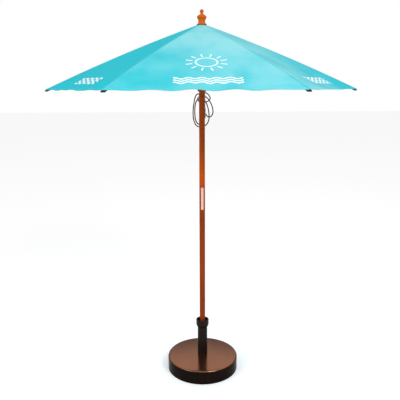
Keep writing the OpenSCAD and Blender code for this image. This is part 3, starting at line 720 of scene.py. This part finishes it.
def sheet_piece(name, points, normals, uv, material, thickness=CLOTH_T):
    """A thin closed sheet from a grid of points, with smooth custom normals and the panel's UVs."""
    rows, columns = points.shape[:2]
    outer = points.reshape(-1, 3)
    inner = (points - normals * thickness).reshape(-1, 3)
    count = rows * columns
    faces = []
    for i in range(rows - 1):
        for j in range(columns - 1):
            a = i * columns + j
            quad = (a, a + columns, a + columns + 1, a + 1)
            faces += [quad, tuple(q + count for q in quad[::-1])]
    rim = ([j for j in range(columns)] + [i * columns + columns - 1 for i in range(1, rows)]
           + [(rows - 1) * columns + j for j in range(columns - 2, -1, -1)]
           + [i * columns for i in range(rows - 2, 0, -1)])
    for a, b in zip(rim, rim[1:] + rim[:1]):
        faces.append((a, b, b + count, a + count))
    mesh = bpy.data.meshes.new(name)
    mesh.from_pydata([tuple(v) for v in np.concatenate([outer, inner])], [], faces)
    mesh.update()
    layer = mesh.uv_layers.new(name="panel")
    flat_uv = np.tile(uv.reshape(-1, 2), (2, 1))
    loops = np.zeros(len(mesh.loops), int)
    mesh.loops.foreach_get("vertex_index", loops)
    layer.data.foreach_set("uv", flat_uv[loops].ravel())
    mesh.materials.append(material)
    obj = bpy.data.objects.new(name, mesh)
    bpy.context.scene.collection.objects.link(obj)
    mesh.polygons.foreach_set("use_smooth", [True] * len(mesh.polygons))
    both = np.concatenate([normals.reshape(-1, 3), -normals.reshape(-1, 3)])
    mesh.normals_split_custom_set_from_vertices([tuple(n) for n in both])
    return obj


def panel_uv(lo, hi):
    """(lateral place, rib radius) of grid points lo..hi across, in metres."""
    t = np.linspace(-1, 1, COLUMNS + 1)[None, lo:hi]
    return np.stack([RADII[:, None] * 0.5 * t, np.repeat(RADII[:, None], t.shape[1], 1)], 2)


def panel_material(k):
    # panel 6 (from rib 6 to rib 1) is the front one
    return {5: CANOPY_FRONT, 0: CANOPY_RIGHT, 4: CANOPY_LEFT}.get(k, MATERIALS["canopy"])


SEAM_OFFSETS = (-0.0080, -0.0074, -0.0040, 0.0, 0.0040, 0.0074, 0.0080)
SEAM_LIFTS = (-0.0002, 0.0006, 0.0007, 0.0008, 0.0007, 0.0006, -0.0002)


def seam_points(i):
    """Grid of points along the ridge of rib i: a felled strip that lies over both panels."""
    after, before = panels[i - 1], panels[(i - 2) % 6]
    normal_after, normal_before = NORMALS[i - 1], NORMALS[(i - 2) % 6]
    rows = range(SPLIT_ROW, ROWS + 1)
    points, normals = [], []
    for r in rows:
        line, tilt = [], []
        for offset, lift in zip(SEAM_OFFSETS, SEAM_LIFTS):
            grid, turned = (after, normal_after) if offset >= 0 else (before, normal_before)
            cells = abs(offset) / (RADII[r] / COLUMNS)
            low = int(cells)
            f = cells - low
            a, b = (low, low + 1) if offset >= 0 else (COLUMNS - low, COLUMNS - low - 1)
            n = turned[r, a] * (1 - f) + turned[r, b] * f
            n /= np.linalg.norm(n)
            line.append(grid[r, a] * (1 - f) + grid[r, b] * f + n * lift)
            tilt.append(n)
        points.append(line)
        normals.append(tilt)
    return np.array(points), np.array(normals)


def make_seam(i):
    points, normals = seam_points(i)
    # the strip ends where the hem does
    uv = np.stack([np.broadcast_to(0.5 * RADII[SPLIT_ROW:, None] - abs(np.array(SEAM_OFFSETS)) / COS_30,
                                   points.shape[:2]),
                   np.repeat(RADII[SPLIT_ROW:, None], len(SEAM_OFFSETS), 1)], 2)
    seam = sheet_piece(f"canopy_seam_{i}", points, normals, uv, SEAM_CLOTH, SEAM_T)
    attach(seam, f"rib_{i}")
    return seam


for i, angle in enumerate(RIB_ANGLES, 1):
    after, before = i - 1, (i - 2) % 6
    halves = [
        ("left", before, slice(HALF_COLUMNS, COLUMNS + 1), -1, panel_uv(HALF_COLUMNS, COLUMNS + 1)),
        ("right", after, slice(0, HALF_COLUMNS + 1), 1, panel_uv(0, HALF_COLUMNS + 1)),
    ]
    direction = Vector((math.cos(math.radians(angle)), math.sin(math.radians(angle)), 0))
    ridge = direction * 0.5
    ridge.z = float(ridge_z(0.5)) - RIB_BOW * 0.4
    outer_rows, inner_rows = slice(SPLIT_ROW, None), slice(0, SPLIT_ROW + 1)
    for side_name, k, columns, side, uv in halves:
        points, normals = panels[k][:, columns], NORMALS[k][:, columns]
        half = sheet_piece(f"canopy_{i}_{side_name}", points[outer_rows], normals[outer_rows],
                           uv[outer_rows], panel_material(k))
        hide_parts(f"canopy_section_{i}")
        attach(half, f"rib_{i}")
        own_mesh(half)
        crown = sheet_piece(f"canopy_crown_{i}_{side_name}", points[inner_rows], normals[inner_rows],
                            uv[inner_rows], panel_material(k))
        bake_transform(crown)
        sewn_on = [crown, make_seam(i)] if side_name == "left" else [crown]

# ---------- turned and moulded pieces ----------

BASE_R, SIDE_H, DOME_H, EDGE_R, TUBE_R = 0.245, 0.098, 0.011, 0.013, 0.034


def base_profile():
    top = [(BASE_R - EDGE_R + EDGE_R * math.cos(math.radians(a)),
            SIDE_H - EDGE_R + EDGE_R * math.sin(math.radians(a))) for a in range(0, 79, 6)]
    rim = BASE_R - EDGE_R
    dome = []
    for f in np.linspace(0, 1, 40)[1:]:
        r = rim + (TUBE_R + 0.0001 - rim) * f
        dome.append((r, SIDE_H + DOME_H * (1 - (r / rim) ** 2)))
    side = [(BASE_R - 0.0012, 0.002), (BASE_R - 0.0003, 0.0022), (BASE_R, 0.003), (BASE_R, 0.0125),
            (BASE_R - 0.0009, 0.0132), (BASE_R - 0.0009, 0.0146), (BASE_R, 0.0153), (BASE_R, 0.060)]
    inner = [(TUBE_R + 0.0001, 0.0052), (0.0001, 0.0052)]
    return [(0, 0.002), (0.1, 0.002)] + side + top + dome + inner + [(0, 0.0052)]


lathe("base_body", base_profile(), "base_plastic", "base", ["base_shell"], steps=192, angle=35)

lathe("finial_turned",
      [(0, 2.3443)] + [(0.0275, 2.3443)] + arc(0.028, 2.3473, 0.003, -80, 70, 10)
      + [(0.0275, 2.3506), (0.0250, 2.3524), (0.0222, 2.3568), (0.0210, 2.3635), (0.0216, 2.3700),
         (0.0240, 2.3765), (0.0275, 2.3830), (0.0298, 2.3872), (0.0305, 2.3893), (0.0302, 2.3915),
         (0.0288, 2.3945), (0.0262, 2.3975), (0.0232, 2.4005), (0.0196, 2.4032), (0.0150, 2.4058),
         (0.0105, 2.4082), (0.0085, 2.4102), (0.0080, 2.4120), (0.0084, 2.4142)]
      + arc(0, 2.4251, 0.0122, -46, 88, 22) + [(0, 2.4373)],
      "finial_wood", "finial", ["finial"], steps=96, angle=50)

# ---------- carried-over CAD nodes ----------

node_slots = {p["node"]: p["material_slot"] for p in frame["record"]["subparts"]}
BEVELS = {"knob_plastic": 0.0008, "hub_wood": 0.0012, "rib_wood": 0.0012, "steel": 0.0003,
          "tip_plastic": 0.0006, "pole_wood": 0.0006, "disc": 0.0006, "brass_nut": 0.0004}
for node, obj in NODES.items():
    obj.data.materials.clear()
    obj.data.materials.append(MATERIALS[node_slots[node]])
    shade(obj, 32)
    width = BEVELS.get(node_slots[node])
    if width and not obj.hide_render and node not in ("joint_spigot", "spigot_liner"):
        bevel = obj.modifiers.new("bevel", "BEVEL")
        bevel.width = width
        bevel.segments = 2
        bevel.limit_method = "ANGLE"
        bevel.angle_limit = math.radians(40)
        bevel.harden_normals = True

# ---------- floor and light ----------

FLOOR = (0.90, 0.90, 0.90)
FLOOR_GLOW = 0.22


def make_floor():
    s = Shader("floor")
    # a faint glow lifts the floor to the white of the background
    s.set(Base_Color=(*FLOOR, 1), Roughness=0.9, Specular_IOR_Level=0.1)
    s.set(Emission_Color=(1, 1, 1, 1), Emission_Strength=FLOOR_GLOW)
    mesh = bpy.data.meshes.new("floor")
    size = 40
    corners = [(-size, -size, 0), (size, -size, 0), (size, size, 0), (-size, size, 0)]
    mesh.from_pydata(corners, [], [(0, 1, 2, 3)])
    mesh.materials.append(s.material)
    floor = bpy.data.objects.new("floor", mesh)
    bpy.context.scene.collection.objects.link(floor)


def area_light(name, place, target, size, power):
    data = bpy.data.lights.new(name, "AREA")
    data.shape = "DISK"
    data.size, data.energy = size, power
    light = bpy.data.objects.new(name, data)
    bpy.context.scene.collection.objects.link(light)
    light.location = place
    light.rotation_mode = "QUATERNION"
    light.rotation_quaternion = (Vector(target) - Vector(place)).to_track_quat("-Z", "Y")


def make_world():
    """A white background; its light on the object is dim near the horizon and bright overhead."""
    world = bpy.data.worlds.new("studio")
    bpy.context.scene.world = world
    world.use_nodes = True
    tree = world.node_tree
    background = tree.nodes["Background"]
    background.inputs["Color"].default_value = (1, 1, 1, 1)
    split = tree.nodes.new("ShaderNodeSeparateXYZ")
    tree.links.new(tree.nodes.new("ShaderNodeTexCoord").outputs["Generated"], split.inputs[0])
    rise = tree.nodes.new("ShaderNodeMapRange")
    rise.interpolation_type = "SMOOTHSTEP"
    for socket, value in zip(rise.inputs[1:5], (0.22, 0.62, 0.16, 0.95)):
        socket.default_value = value
    tree.links.new(split.outputs[2], rise.inputs[0])
    seen = tree.nodes.new("ShaderNodeMath")
    seen.operation = "MAXIMUM"
    tree.links.new(tree.nodes.new("ShaderNodeLightPath").outputs["Is Camera Ray"], seen.inputs[0])
    tree.links.new(rise.outputs[0], seen.inputs[1])
    tree.links.new(seen.outputs[0], background.inputs["Strength"])


make_floor()
make_world()
area_light("key", (2.6, -4.2, 4.6), (0, 0, 1.6), 2.2, 150)
area_light("fill", (-3.6, -3.4, 2.6), (0, 0, 1.2), 2.6, 80)
bpy.context.scene.view_settings.view_transform = "Standard"
